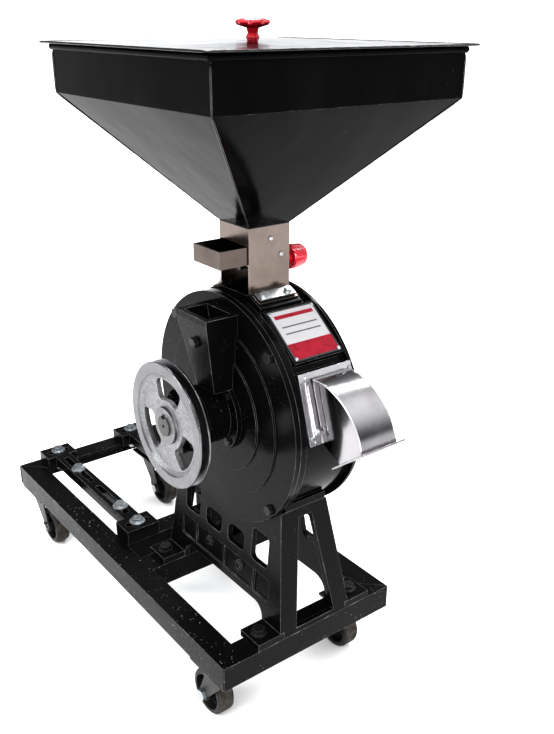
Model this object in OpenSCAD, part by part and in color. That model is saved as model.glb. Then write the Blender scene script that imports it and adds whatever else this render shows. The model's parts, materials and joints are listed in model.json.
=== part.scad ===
// Belt-driven hammer mill on a wheeled angle-iron base.
// X runs along the base from the motor end to the mill end, Y across it
// with the pulley on the -Y side, and Z up from the floor.

/* [Base frame] */
// Length of the base frame along X
frame_len = 750; // [700:5:760]
// Width of the base frame along Y
frame_wid = 322; // [310:2:340]
// Leg width of the angle iron
angle_w = 40; // [38:1:42]
// Thickness of the angle iron
angle_t = 5; // [4:0.5:6]

/* [Casters] */
// Height from the floor to the underside of the angle iron
caster_h = 108; // [106:1:115]
// Radius of a caster wheel
wheel_r = 37.5; // [35:0.5:38]
// Width of a caster wheel's tread
wheel_w = 28; // [24:1:29]
// Distance of the axle from the swivel centre
caster_trail = 30; // [26:1:32]

/* [Motor rails] */
// Length of a motor rail
rail_len = 380; // [370:2:384]
// Height of a motor rail
rail_h = 25; // [22:1:30]

/* [Pedestal] */
// Height of the pedestal from the frame to the drum's side lugs
ped_h = 200; // [196:1:204]
// Width of the pedestal at its feet
ped_wid = 317; // [312:1:318]
// Wall thickness of the casting
ped_t = 9; // [7:0.5:10]

/* [Drum] */
// Height of the shaft above the top of the frame
axis_h = 320; // [318:1:324]
// Outer radius of the covers and the drum's front flange
rim_r = 176; // [174:1:177]
// Outer radius of the drum's wall
drum_r = 168; // [166:1:169]
// Inner radius of the drum's wall
drum_in_r = 156; // [154:1:157]

/* [Drive] */
// Radius of the shaft
shaft_r = 15; // [14:0.5:16]
// Outer radius of the pulley
pulley_r = 93.5; // [90:0.5:96]
// Width of the pulley's rim
pulley_w = 18.5; // [17:0.5:20]

/* [Hopper] */
// Outer half width of the hopper's upright band
hop_a = 190.5; // [185:0.5:192]
// Half width of the hopper's neck
neck_a = 32.5; // [32:0.1:32.6]
// Sheet thickness of the hopper and its lid
sheet_t = 1.5; // [1.2:0.1:2]

/* [Hidden] */
$fn = 64;

// Gap left between pieces that touch but do not bear on each other
gap = 0.3;
// Overlap that makes a cut run clear of a face
cut = 1;
// Radial running clearance of a turning fit
run_fit = 0.06;

// Base frame: centre, and height of its top face
frame_x = -54;
frame_y = -14;
frame_z = caster_h + angle_w;
frame_left = frame_x - frame_len / 2;
frame_right = frame_x + frame_len / 2;
frame_front = frame_y - frame_wid / 2;
frame_back = frame_y + frame_wid / 2;
// Right-hand edges of the two cross members
cross_a_x = -40;
cross_b_x = 50;

// Mill: shaft axis, and the planes of the drum along Y
mill_x = 162;
axis_z = frame_z + axis_h;
cover_y = -62;
shell_y = -53;
flange_y = -43;
shell_end_y = 52;
back_y = 59;

// Raised rings that step up from the front cover's edge to its middle,
// each a radius and a height, and the face that the bearing housing sits on
cover_steps = [[132, 3], [94, 6]];
boss_y = cover_y - cover_steps[1][1];

// Bolts: thread radius and clearance hole radius of M6, M8 and M10
m6 = 3;
m8 = 4;
m10 = 5;
hole_extra = 0.4;

// Casters: swivel centres, and the side to which each fork trails
caster_in_x = 50;
caster_in_y = 33;
caster_spots = [
    [frame_left + caster_in_x, frame_front + caster_in_y, 1],
    [frame_right - caster_in_x, frame_front + caster_in_y, -1],
    [frame_right - caster_in_x, frame_back - caster_in_y, -1],
    [frame_left + caster_in_x, frame_back - caster_in_y, 1]];
pad_t = 4;
top_plate_t = 3;
top_plate = [76, 60];
plate_bolt = [29, 21];
fork_z = caster_h - pad_t - top_plate_t - 5 - gap;
fork_t = 3;
fork_in = 17;

// Motor rails: start along X and centre lines along Y
rail_x0 = -418;
rail_front_y = -102;
rail_rear_y = 66;
rail_foot = [44, 62];
rail_bar_w = 30;
rail_bar_h = 20;
rail_slot_r = 5.5;
rail_end_x = [rail_x0 + rail_foot[0] / 2, rail_x0 + rail_len - rail_foot[0] / 2];
clamp_x = [rail_x0 + 119, rail_x0 + 294];
washer_r = 14;
washer_t = 2.5;

// Pedestal: base and top lines of its front and rear plates along Y
ped_front_y = -73;
ped_back_y = 63;
ped_front_top = -54;
ped_back_top = 30;
ped_top_half = 134;
ped_foot = [46, 40];
pad_h = 11;
front_tilt = atan((ped_front_top - ped_front_y) / ped_h);
back_tilt = atan((ped_back_y - ped_back_top) / ped_h);
side_tilt = atan((ped_wid / 2 - ped_top_half) / ped_h);
foot_bolt_y = [ped_front_y - ped_foot[1] / 2 - 3, ped_back_y + ped_foot[1] / 2 - 2];
foot_bolt_x = ped_wid / 2 - ped_foot[0] / 2;
lug_bolt_y = [-32, 11];
lug_bolt_x = 116;
lug_h = 10;

// Bearings of the overhung shaft
bearing_r = 31;
bearing_w = 16;
barrel_r = 44;
barrel_y = -122;
cap_y = -132;
pulley_y = -160;
hub_r = 27;

// Rotor
pin_ring_r = 92;
pin_r = 6;
disc_r = 110;
disc_y = [20, 28];
ring_y = [-40, -34];
hammer_len = 48;
hammer_w = 24;
hammer_y = [-30, 16];

// Discharge spout: angle of its seat, and its planes
spout_a = 17;
spout_seat = 172;
spout_half = 49.5;
spout_y = [-41, 51];
hood_y = [-20.5, 41];
hood_r = 94.7;
hood_cx = 166.6;
hood_cz = -4;
hood_start = 96;
hood_end = 12.9;
hood_t = 1.5;
lip_w = 9;

// Nameplate seat
name_a = 52.6;
name_seat = 170;
name_y = [-35, 51];
name_half = 45;

// Feed bracket between the hopper's neck and the drum
brk_a = 35;
brk_t = 2;
brk_z0 = frame_z + 502.5;
brk_z1 = frame_z + 590;
foot_drop = 12;
foot_run = 25;
foot_tilt = atan(foot_drop / foot_run);
brk_bolt_y = 21;

// Feed tray and its screw
tray_z = frame_z + 540;
tray_h = 25;
tray_front = -81;
tray_back = 24;
screw_z = frame_z + 530;
screw_r = 5;

// Hopper levels
neck_z = brk_z1;
band_z = frame_z + 757;
rim_z = frame_z + 810.5;
bead_r = 4.5;
lid_a = 203;
lid_z = rim_z + 2 * bead_r + 0.5;
lid_rise = 6;

// ---------------------------------------------------------------- helpers

// Cylinder along Y from y0 to y1
module rod_y(r, y0, y1) {
    translate([0, y0, 0]) rotate([-90, 0, 0]) cylinder(r = r, h = y1 - y0);
}

// Box from one corner to the other
module box(low, high) {
    translate(low) cube(high - low);
}

// Profile drawn in X and Z, extruded along Y from y0 to y1
module slab_y(y0, y1) {
    translate([0, y1, 0]) rotate([90, 0, 0]) linear_extrude(height = y1 - y0) children();
}

// Profile drawn in Y and Z, extruded along X from x0 to x1
module slab_x(x0, x1) {
    translate([x0, 0, 0]) rotate([90, 0, 90]) linear_extrude(height = x1 - x0) children();
}

// Hexagon bolt with its seat at z = 0 and its head above
module hex_bolt(r, shank, head) {
    cylinder(r = 1.95 * r, h = head, $fn = 6);
    translate([0, 0, -shank]) cylinder(r = r, h = shank + cut);
}

// Children placed on the mill's shaft axis
module on_axis() {
    translate([mill_x, 0, axis_z]) children();
}

// Children moved to a seat on the drum: local X is the outward normal
module on_seat(angle) {
    on_axis() rotate([0, -angle, 0]) children();
}

// Frustum of a square pyramid between two levels
module square_frustum(a0, a1, z0, z1) {
    polyhedron(
        points = [[-a0, -a0, z0], [a0, -a0, z0], [a0, a0, z0], [-a0, a0, z0],
            [-a1, -a1, z1], [a1, -a1, z1], [a1, a1, z1], [-a1, a1, z1]],
        faces = [[0, 1, 2, 3], [7, 6, 5, 4], [4, 5, 1, 0], [5, 6, 2, 1],
            [6, 7, 3, 2], [7, 4, 0, 3]]);
}

// ------------------------------------------------------------- base frame

module cross_member(right_x) {
    box([right_x - angle_w, frame_front + angle_t - cut, frame_z - angle_t],
        [right_x, frame_back - angle_t + cut, frame_z]);
    box([right_x - angle_t, frame_front + angle_t - cut, frame_z - angle_w],
        [right_x, frame_back - angle_t + cut, frame_z]);
}

module corner_pad(spot) {
    size = [2 * caster_in_x - 12, 2 * caster_in_y, pad_t];
    translate([spot[0] - size[0] / 2, spot[1] - size[1] / 2, caster_h - pad_t]) cube(size);
}

module caster_holes(spot) {
    for (sx = [-1, 1], sy = [-1, 1])
        translate([spot[0] + sx * plate_bolt[0], spot[1] + sy * plate_bolt[1],
            caster_h - pad_t - top_plate_t - cut])
            cylinder(r = m6 + hole_extra, h = pad_t + top_plate_t + 2 * cut);
}

module base_frame() color("#26282b") difference() {
    union() {
        difference() {
            box([frame_left, frame_front, frame_z - angle_w], [frame_right, frame_back, frame_z]);
            box([frame_left + angle_t, frame_front + angle_t, frame_z - angle_w - cut],
                [frame_right - angle_t, frame_back - angle_t, frame_z - angle_t]);
            box([frame_left + angle_w, frame_front + angle_w, frame_z - angle_w],
                [frame_right - angle_w, frame_back - angle_w, frame_z + cut]);
        }
        cross_member(cross_a_x);
        cross_member(cross_b_x);
        for (spot = caster_spots) corner_pad(spot);
    }
    for (spot = caster_spots) caster_holes(spot);
    for (sx = [-1, 1], y = foot_bolt_y)
        translate([mill_x + sx * foot_bolt_x, y, frame_z - angle_t - cut])
            cylinder(r = m10 + hole_extra, h = angle_t + 2 * cut);
    for (x = rail_end_x, y = [rail_front_y, rail_rear_y])
        translate([x, y, frame_z - angle_t - cut])
            cylinder(r = m10 + hole_extra, h = angle_t + 2 * cut);
}

// ---------------------------------------------------------------- casters

module caster_plates() color("#55575a") for (spot = caster_spots) difference() {
    plate_z = caster_h - pad_t - top_plate_t;
    translate([spot[0], spot[1], 0]) union() {
        translate([-top_plate[0] / 2, -top_plate[1] / 2, plate_z])
            cube([top_plate[0], top_plate[1], top_plate_t]);
        translate([0, 0, fork_z + gap]) cylinder(r = 23, h = plate_z - fork_z - gap + cut);
        translate([0, 0, fork_z - fork_t - 4]) cylinder(r = 6, h = 10);
        translate([0, 0, fork_z - fork_t - 4 - gap]) cylinder(r = 10, h = 4);
    }
    caster_holes(spot);
}

module caster_bolts() color("#9a9c9d") for (spot = caster_spots, sx = [-1, 1], sy = [-1, 1])
    translate([spot[0] + sx * plate_bolt[0], spot[1] + sy * plate_bolt[1],
        caster_h - pad_t - top_plate_t])
        rotate([180, 0, 0]) hex_bolt(m6, pad_t + top_plate_t + 5, 4);

// Side cheek of a caster fork, drawn about the swivel centre
module fork_outline(axle_dx) {
    polygon([[-22, fork_z], [22, fork_z], [22, fork_z - 10], [axle_dx + 11, wheel_r],
        [axle_dx - 11, wheel_r], [-22, fork_z - 10]]);
    translate([axle_dx, wheel_r]) circle(r = 11);
}

module caster_fork(spot) color("#4a4c4f") translate([spot[0], spot[1], 0])
    mirror([spot[2] < 0 ? 1 : 0, 0, 0]) difference() {
    union() {
        for (side = [-1, 1])
            slab_y(side * (fork_in + fork_t / 2) - fork_t / 2, side * (fork_in + fork_t / 2) + fork_t / 2)
                fork_outline(caster_trail);
        box([-22, -fork_in - fork_t, fork_z - fork_t], [22, fork_in + fork_t, fork_z]);
    }
    translate([0, 0, fork_z - fork_t - cut]) cylinder(r = 6 + run_fit, h = fork_t + 2 * cut);
    translate([caster_trail, 0, wheel_r]) rod_y(m10 + 0.1, -fork_in - fork_t - cut, fork_in + fork_t + cut);
}

// Wheel section: hub, thin web and tread with rounded shoulders
module wheel_section() {
    half = wheel_w / 2;
    shoulder = 4;
    rim_in = 26;
    polygon([[m10 + run_fit, -fork_in + 0.5], [12, -fork_in + 0.5], [12, -2.5], [rim_in, -2.5],
        [rim_in + 3, -half], [wheel_r - shoulder, -half], [wheel_r - 1, -half + shoulder / 2],
        [wheel_r, -half + shoulder + 1], [wheel_r, half - shoulder - 1],
        [wheel_r - 1, half - shoulder / 2], [wheel_r - shoulder, half], [rim_in + 3, half],
        [rim_in, 2.5], [12, 2.5], [12, fork_in - 0.5], [m10 + run_fit, fork_in - 0.5]]);
}

module caster_wheel(spot) color("#3b3836")
    translate([spot[0] + spot[2] * caster_trail, spot[1], wheel_r]) rotate([-90, 0, 0])
    difference() {
        rotate_extrude() wheel_section();
        for (k = [0:5]) rotate([0, 0, 60 * k]) translate([19, 0, -wheel_w])
            cylinder(r = 5, h = 2 * wheel_w);
    }

module caster_axle(spot) color("#8d8f90")
    translate([spot[0] + spot[2] * caster_trail, spot[1], wheel_r]) {
        reach = fork_in + fork_t;
        rod_y(m10, -reach - 1, reach + 9);
        translate([0, -reach, 0]) rotate([90, 0, 0]) cylinder(r = 9.4, h = 6, $fn = 6);
        translate([0, reach, 0]) rotate([-90, 0, 0]) cylinder(r = 9.4, h = 7, $fn = 6);
    }

// ------------------------------------------------------------ motor rails

// Slot that runs along X (length along) or along Y (length across)
module slot_cut(along, across) {
    translate([-along / 2, -across / 2, -cut]) cube([along, across, rail_h + 2 * cut]);
    ends = along > across ? [along / 2, 0] : [0, across / 2];
    for (side = [-1, 1]) translate([side * ends[0], side * ends[1], -cut])
        cylinder(r = min(along, across) / 2, h = rail_h + 2 * cut);
}

module motor_rail(y) color("#222427") translate([rail_x0, y, frame_z]) difference() {
    union() {
        for (x = [0, rail_len - rail_foot[0]])
            translate([x, -rail_foot[1] / 2, 0]) cube([rail_foot[0], rail_foot[1], rail_h]);
        translate([rail_foot[0] - cut, -rail_bar_w / 2, rail_h - rail_bar_h])
            cube([rail_len - 2 * rail_foot[0] + 2 * cut, rail_bar_w, rail_bar_h]);
    }
    for (x = [rail_foot[0] / 2, rail_len - rail_foot[0] / 2]) translate([x, 0, 0])
        slot_cut(2 * rail_slot_r, 34);
    for (x = [119, 261]) translate([x, 0, 0]) slot_cut(110, 2 * rail_slot_r);
    // hollow underside of the two feet
    for (x = [0, rail_len - rail_foot[0]], side = [-1, 1])
        translate([x + 6, side * 24 - 3.5, -cut]) cube([rail_foot[0] - 12, 7, 10 + cut]);
}

// Bolt with a broad washer on top and a nut below the clamped thickness
module washer_bolt(grip) {
    cylinder(r = washer_r, h = washer_t);
    translate([0, 0, washer_t]) hex_bolt(m10, grip + washer_t + 12, 6.5);
    translate([0, 0, -grip - 8]) cylinder(r = 9.4, h = 8, $fn = 6);
}

module rail_end_bolts() color("#c9cdd0") for (x = rail_end_x, y = [rail_front_y, rail_rear_y])
    translate([x, y, frame_z + rail_h]) washer_bolt(rail_h + angle_t);

module motor_clamp_bolts() color("#c9cdd0") for (x = clamp_x, y = [rail_front_y, rail_rear_y])
    translate([x, y, frame_z + rail_h]) washer_bolt(rail_bar_h);

// --------------------------------------------------------------- pedestal

// Slot-like window with rounded ends, drawn in the plate
module window(w, h, r) {
    for (x = [-1, 1], z = [-1, 1]) translate([x * (w / 2 - r), z * (h / 2 - r)]) circle(r = r);
    square([w - 2 * r, h], center = true);
    square([w, h - 2 * r], center = true);
}

// Front or rear plate, drawn about the mill axis with z up from the frame
module ped_plate_outline(seat_r) {
    arch_half = ped_wid / 2 - ped_foot[0] - 2;
    arch_top = 32;
    arch_r = 22;
    difference() {
        polygon([[-ped_wid / 2, 0], [ped_wid / 2, 0], [ped_top_half, ped_h], [-ped_top_half, ped_h]]);
        translate([0, axis_h]) circle(r = seat_r);
        translate([-arch_half, -cut]) square([2 * arch_half, arch_top - arch_r + cut]);
        translate([-arch_half + arch_r, -cut]) square([2 * (arch_half - arch_r), arch_top + cut]);
        for (side = [-1, 1]) translate([side * (arch_half - arch_r), arch_top - arch_r])
            circle(r = arch_r);
        for (x = [-31, 31]) translate([x, 113]) window(44, 32, 9);
        for (x = [-92, 92]) translate([x, 124]) window(42, 54, 9);
    }
}

module ped_plate(seat_r) {
    panel_z = 63;
    difference() {
        slab_y(0, ped_t) ped_plate_outline(seat_r);
        difference() {
            slab_y(-cut, 3) translate([0, panel_z]) window(242, 38, 6);
            for (x = [-80, 0, 80]) box([x - 2, -cut, 0], [x + 2, 4, ped_h]);
            for (x = [-42, 42]) translate([x, 0, panel_z + 4]) rod_y(8, -cut, 4);
        }
    }
    for (x = [-42, 42]) translate([x, 0, panel_z + 4]) rod_y(5, -2, 1);
}

// Side frame: two legs joined at the top, drawn in Y and Z
module ped_side_outline() {
    leg = 31;
    difference() {
        polygon([[ped_front_y, 0], [ped_back_y, 0], [ped_back_top, ped_h], [ped_front_top, ped_h]]);
        polygon([[ped_front_y + leg, 8], [ped_back_y - leg, 8],
            [ped_back_top - leg + 2, ped_h - 14], [ped_front_top + leg, ped_h - 14]]);
    }
}

module pedestal() color("#1f2123") translate([mill_x, 0, frame_z]) difference() {
    union() {
        translate([0, ped_front_y, 0]) rotate([-front_tilt, 0, 0]) ped_plate(rim_r + gap);
        translate([0, ped_back_y, 0]) rotate([back_tilt, 0, 0]) mirror([0, 1, 0])
            ped_plate(drum_r + 2 * gap);
        for (side = [0, 1]) mirror([side, 0, 0]) translate([ped_wid / 2, 0, 0])
            rotate([0, -side_tilt, 0]) slab_x(-ped_t, 0) ped_side_outline();
        for (side = [-1, 1]) box([side * 120 - 14, ped_front_top + 3, ped_h - 12],
            [side * 120 + 14, ped_back_top - 3, ped_h]);
        for (sx = [-1, 1]) {
            x0 = sx * foot_bolt_x - ped_foot[0] / 2;
            box([x0, ped_front_y - ped_foot[1], 0], [x0 + ped_foot[0], ped_front_y + 8, pad_h]);
            box([x0, ped_back_y - 8, 0], [x0 + ped_foot[0], ped_back_y + ped_foot[1], pad_h]);
        }
    }
    box([-ped_wid, -frame_wid, -2 * ped_t], [ped_wid, frame_wid, 0]);
    box([-ped_wid, -frame_wid, ped_h], [ped_wid, frame_wid, ped_h + 2 * ped_t]);
    translate([0, 0, axis_h]) rod_y(drum_r + gap, ped_front_y, ped_back_y + cut);
    translate([0, 0, axis_h]) rod_y(rim_r + gap, ped_front_y - cut, flange_y + gap);
    for (sx = [-1, 1], y = foot_bolt_y) translate([sx * foot_bolt_x, y, -cut])
        cylinder(r = m10 + hole_extra, h = pad_h + 2 * cut);
    for (sx = [-1, 1], y = lug_bolt_y) translate([sx * lug_bolt_x, y, ped_h - 12 - cut])
        cylinder(r = m8 + hole_extra, h = 12 + 2 * cut);
}

module pedestal_bolts() color("#2c2e30") for (sx = [-1, 1], y = foot_bolt_y)
    translate([mill_x + sx * foot_bolt_x, y, frame_z + pad_h]) {
        cylinder(r = 12, h = 2.5);
        translate([0, 0, 2.5]) hex_bolt(m10, pad_h + angle_t + 14, 7);
        translate([0, 0, -pad_h - angle_t - 8]) cylinder(r = 9.4, h = 8, $fn = 6);
    }

// ------------------------------------------------------------------- drum

// Wedge-shaped seat under a foot of the feed bracket
module bracket_seat() {
    top = brk_z0 - axis_z - 3.1;
    slab_y(-36, 36) polygon([[32, 150], [32, top], [brk_a - 1, top],
        [brk_a + foot_run + 3, top - (foot_run + 4) * foot_drop / foot_run],
        [brk_a + foot_run + 3, 140]]);
}

module drum_shell() color("#232528") difference() {
    union() {
        on_axis() rod_y(drum_r, shell_y, shell_end_y);
        on_axis() rod_y(rim_r, shell_y, flange_y);
        on_seat(name_a) box([150, name_y[0], -name_half], [name_seat, name_y[1], name_half]);
        on_seat(spout_a) box([140, spout_y[0], -spout_half], [spout_seat, spout_y[1], spout_half]);
        on_axis() for (side = [0, 1]) mirror([side, 0, 0]) bracket_seat();
        on_axis() box([-33, -36, 150], [33, 36, brk_z0 - axis_z - 6]);
        on_axis() for (side = [0, 1]) mirror([side, 0, 0])
            box([96, flange_y - cut, ped_h - axis_h + gap],
                [ped_top_half, ped_back_top - 3, ped_h - axis_h + gap + lug_h]);
    }
    on_axis() rod_y(drum_in_r, shell_y - cut, shell_end_y + cut);
    // discharge window behind the spout
    on_seat(spout_a) box([130, -16, -32], [spout_seat + cut, 36, 32]);
    on_axis() for (k = [0:3]) rotate([0, 45 + 90 * k, 0]) translate([166, 0, 0])
        rod_y(m8 + 0.1, shell_y - cut, flange_y + gap);
    on_axis() for (k = [0:5]) rotate([0, 60 * k, 0]) translate([162, 0, 0])
        rod_y(m6 + 0.1, shell_end_y - 14, shell_end_y + cut);
    for (sx = [-1, 1], y = lug_bolt_y)
        translate([mill_x + sx * lug_bolt_x, y, frame_z + ped_h - 8])
            cylinder(r = m8 + 0.1, h = lug_h + 8);
    // tapped holes for the bracket, spout and nameplate screws
    bracket_bolt_places() translate([0, 0, -11]) cylinder(r = m6 + 0.1, h = 12);
    spout_screw_places() translate([0, 0, -9]) cylinder(r = 2.1, h = 10);
    name_screw_places() translate([0, 0, -9]) cylinder(r = 1.6, h = 10);
}

module drum_foot_bolts() color("#2c2e30") for (sx = [-1, 1], y = lug_bolt_y)
    translate([mill_x + sx * lug_bolt_x, y, frame_z + ped_h - 12]) rotate([180, 0, 0])
        hex_bolt(m8, 10 + lug_h, 5.5);

module front_cover() color("#232528") difference() {
    on_axis() union() {
        rod_y(rim_r, cover_y, shell_y - gap / 3);
        for (step = cover_steps) rod_y(step[0], cover_y - step[1], shell_y - gap / 3);
    }
    on_axis() rod_y(22, cover_y - 20, shell_y + cut);
    // feed window behind the chute
    on_axis() box([2, cover_y - 20, 62], [32, shell_y + cut, 88]);
    on_axis() for (k = [0:3]) rotate([0, 45 + 90 * k, 0]) translate([166, 0, 0])
        rod_y(m8 + hole_extra, cover_y - cut, shell_y + cut);
    on_axis() for (k = [0:3]) rotate([0, 45 + 90 * k, 0]) translate([51, 0, 0])
        rod_y(m6 + 0.1, boss_y - cut, shell_y - 4);
    // seat of the chute on the stepped face
    on_axis() box([-36, cover_y - 20, 110], [48, cover_y, 160]);
}

module back_cover() color("#232528") difference() {
    on_axis() union() {
        rod_y(rim_r, shell_end_y + gap / 3, back_y - 2);
        rod_y(146, shell_end_y + gap / 3, back_y);
    }
    on_axis() for (k = [0:5]) rotate([0, 60 * k, 0]) translate([162, 0, 0])
        rod_y(m6 + hole_extra, shell_end_y - cut, back_y + cut);
}

module cover_bolts() color("#2c2e30") on_axis() for (k = [0:3])
    rotate([0, 45 + 90 * k, 0]) translate([166, cover_y, 0]) rotate([90, 0, 0])
        hex_bolt(m8, flange_y - cover_y, 5.5);

module back_cover_bolts() color("#2c2e30") on_axis() for (k = [0:5])
    rotate([0, 60 * k, 0]) translate([162, back_y - 2, 0]) rotate([-90, 0, 0])
        hex_bolt(m6, back_y - 2 - shell_end_y + 10, 4.5);

// ------------------------------------------------------------- feed chute

// Upright faces of the chute seen from the front, shrunk by a wall
module chute_front(wall, extra) {
    polygon([[-34 + wall, 158 + extra], [46 - wall, 158 + extra],
        [39 - wall, 46 + wall], [-4 + 0.8 * wall, 46 + wall]]);
}

// Side view of the chute: its front wall leans in towards the bottom
module chute_side(wall, extra, back) {
    polygon([[-114 + wall, 158 + extra], [-114 + wall, 150], [-100 + wall, 46 + wall],
        [back, 46 + wall], [back, 158 + extra]]);
}

// Lean of the chute's front face, and the bolt's seat on it
chute_lean = 7.7;
module chute_bolt_place() {
    on_axis() translate([11, -109.9, 119]) rotate([90 + chute_lean, 0, 0]) children();
}

module feed_chute() color("#2a2c2e") difference() {
    chute_body();
    chute_bolt_place() translate([0, 0, -9]) cylinder(r = m8 + 0.1, h = 20);
}

module chute_body() on_axis() difference() {
    chute_back = cover_y - gap;
    intersection() {
        slab_y(-130, chute_back) chute_front(0, 0);
        slab_x(-60, 60) chute_side(0, 0, chute_back);
    }
    intersection() {
        slab_y(-130, chute_back - 6) chute_front(8, 20);
        slab_x(-60, 60) chute_side(8, 20, chute_back - 6);
    }
    // clears the raised rings of the cover and opens into its feed window
    for (step = cover_steps) rod_y(step[0] + gap, cover_y - step[1] - gap, cover_y);
    box([4, cover_y - 14, 64], [30, cover_y + cut, 86]);
    rod_y(barrel_r + 2 * gap, -130, cover_y);
    rod_y(60 + gap, -78, cover_y);
}

module chute_bolt() color("#2c2e30") chute_bolt_place() hex_bolt(m8, 7, 6);

// --------------------------------------------------------- bearing housing

module bearing_housing() color("#232528") on_axis() difference() {
    union() {
        rod_y(barrel_r, barrel_y, boss_y - gap / 3);
        rod_y(barrel_r + 2.5, barrel_y, barrel_y + 9);
        rod_y(60, boss_y - 8, boss_y - gap / 3);
    }
    rod_y(bearing_r, barrel_y - cut, -70);
    rod_y(22, -71, cover_y);
    for (k = [0:3]) rotate([0, 45 + 90 * k, 0]) translate([38, 0, 0])
        rod_y(m6 + 0.1, barrel_y - cut, barrel_y + 14);
    for (k = [0:3]) rotate([0, 45 + 90 * k, 0]) translate([51, 0, 0])
        rod_y(m6 + hole_extra, cover_y - 20, cover_y);
}

module bearing_cap() color("#232528") on_axis() difference() {
    union() {
        rod_y(barrel_r + 2.5, cap_y + 2, barrel_y - gap / 3);
        rod_y(30, cap_y, barrel_y - gap / 3);
    }
    rod_y(shaft_r + 1, cap_y - cut, barrel_y + cut);
    for (k = [0:3]) rotate([0, 45 + 90 * k, 0]) translate([38, 0, 0])
        rod_y(m6 + hole_extra, cap_y - cut, barrel_y + cut);
}

module cap_bolts() color("#2c2e30") on_axis() {
    for (k = [0:3]) rotate([0, 45 + 90 * k, 0]) translate([38, cap_y + 2, 0])
        rotate([90, 0, 0]) hex_bolt(m6, 20, 4);
    for (k = [0:3]) rotate([0, 45 + 90 * k, 0]) translate([51, boss_y - 8, 0])
        rotate([90, 0, 0]) hex_bolt(m6, 15, 4);
}

// Ball bearing drawn as two races with a ball ring between them
module ball_bearing(y0) color("#9ea2a5") on_axis() {
    difference() {
        rod_y(bearing_r - 0.02, y0, y0 + bearing_w);
        rod_y(shaft_r + run_fit, y0 - cut, y0 + bearing_w + cut);
        translate([0, y0, 0]) rotate([-90, 0, 0]) rotate_extrude()
            translate([23, bearing_w / 2 - 9]) square([3, 3]);
        translate([0, y0, 0]) rotate([-90, 0, 0]) rotate_extrude()
            translate([23, bearing_w / 2 + 6]) square([3, 3]);
    }
}

module front_bearing() ball_bearing(-118);
module rear_bearing() ball_bearing(-86);

// ------------------------------------------------------------------ drive

module drive_shaft() color("#6f7173") on_axis() difference() {
    union() {
        rod_y(shaft_r, pulley_y - 2, disc_y[1] + 6);
        rod_y(20, -69, -62);
    }
    // centre drilling at the pulley end
    translate([0, pulley_y - 2 - cut, 0]) rod_y(2.5, 0, 5);
    // keyway under the pulley's hub
    box([-4, pulley_y - 3, shaft_r - 4], [4, -138, shaft_r + cut]);
}

// Half section of the pulley: radius across, width upwards from its face
module pulley_section() {
    polygon([[shaft_r + 0.02, 0], [hub_r, 0], [hub_r + 1, 5], [70, 6], [77.5, 0],
        [pulley_r - 1, 0], [pulley_r, 1], [pulley_r, 3], [80, 7.2], [80, 11.3],
        [pulley_r, 15.5], [pulley_r, pulley_w - 1], [pulley_r - 1, pulley_w],
        [77.5, pulley_w], [70, 13], [hub_r + 1, 13], [hub_r, 24], [shaft_r + 0.02, 24]]);
}

// Kidney-shaped opening between the hub and the rim
module kidney(r0, r1, half_angle) {
    mid = (r0 + r1) / 2;
    end_r = 9;
    difference() {
        intersection() {
            circle(r = r1);
            polygon([[0, 0], [2 * r1 * cos(half_angle), -2 * r1 * sin(half_angle)],
                [2 * r1 * cos(half_angle), 2 * r1 * sin(half_angle)]]);
        }
        circle(r = r0);
    }
    for (side = [-1, 1]) rotate(side * half_angle) {
        translate([r0 + end_r - 0.2, 0]) circle(r = end_r);
        translate([r1 - end_r + 0.2, 0]) circle(r = end_r);
        translate([mid, 0]) square([r1 - r0 - 2 * end_r, 2 * end_r], center = true);
    }
}

module pulley() color("#c4c6c8") on_axis() translate([0, pulley_y, 0]) rotate([-90, 0, 0])
    difference() {
        rotate_extrude() pulley_section();
        for (k = [0:2]) rotate([0, 0, -85 + 120 * k]) translate([0, 0, -cut])
            linear_extrude(height = 30) kidney(37, 68.5, 22);
        translate([-4.05, -shaft_r - 3.5, -cut]) cube([8.1, 6, 30]);
        // set screw hole through the hub
        rotate([0, 0, 35]) translate([shaft_r - 2, 0, 19]) rotate([0, 90, 0])
            cylinder(r = m8 + 0.05, h = 30);
    }

module pulley_key() color("#7c7e80") on_axis()
    box([-3.95, pulley_y + 1, shaft_r - 3.9], [3.95, -139, shaft_r + 3.4]);

module pulley_set_screw() color("#55575a") on_axis() translate([0, pulley_y, 0])
    rotate([-90, 0, 0]) rotate([0, 0, 35]) translate([shaft_r + 0.1, 0, 19]) rotate([0, 90, 0])
    difference() {
        cylinder(r = m8, h = 16);
        translate([0, 0, 12]) cylinder(r = 2.3, h = 5, $fn = 6);
    }

// ------------------------------------------------------------------ rotor

module rotor_disc() color("#5d6063") on_axis() difference() {
    union() {
        rod_y(disc_r, disc_y[0], disc_y[1]);
        rod_y(30, ring_y[1] + 2, disc_y[1]);
    }
    rod_y(shaft_r + 0.02, -60, 60);
    for (k = [0:3]) rotate([0, 90 * k, 0]) translate([pin_ring_r, 0, 0])
        rod_y(pin_r + 0.02, 10, 40);
}

module rotor_ring() color("#5d6063") on_axis() difference() {
    rod_y(disc_r, ring_y[0], ring_y[1]);
    rod_y(78, -60, 0);
    for (k = [0:3]) rotate([0, 90 * k, 0]) translate([pin_ring_r, 0, 0])
        rod_y(pin_r + 0.02, -50, 0);
}

module hammer_pins() color("#8d8f90") on_axis() for (k = [0:3])
    rotate([0, 90 * k, 0]) translate([pin_ring_r, 0, 0]) {
        rod_y(pin_r, ring_y[0] - 2, disc_y[1] + 2);
        rod_y(9, ring_y[0] - 4, ring_y[0] - 0.1);
        rod_y(9, disc_y[1] + 0.1, disc_y[1] + 4);
    }

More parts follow.
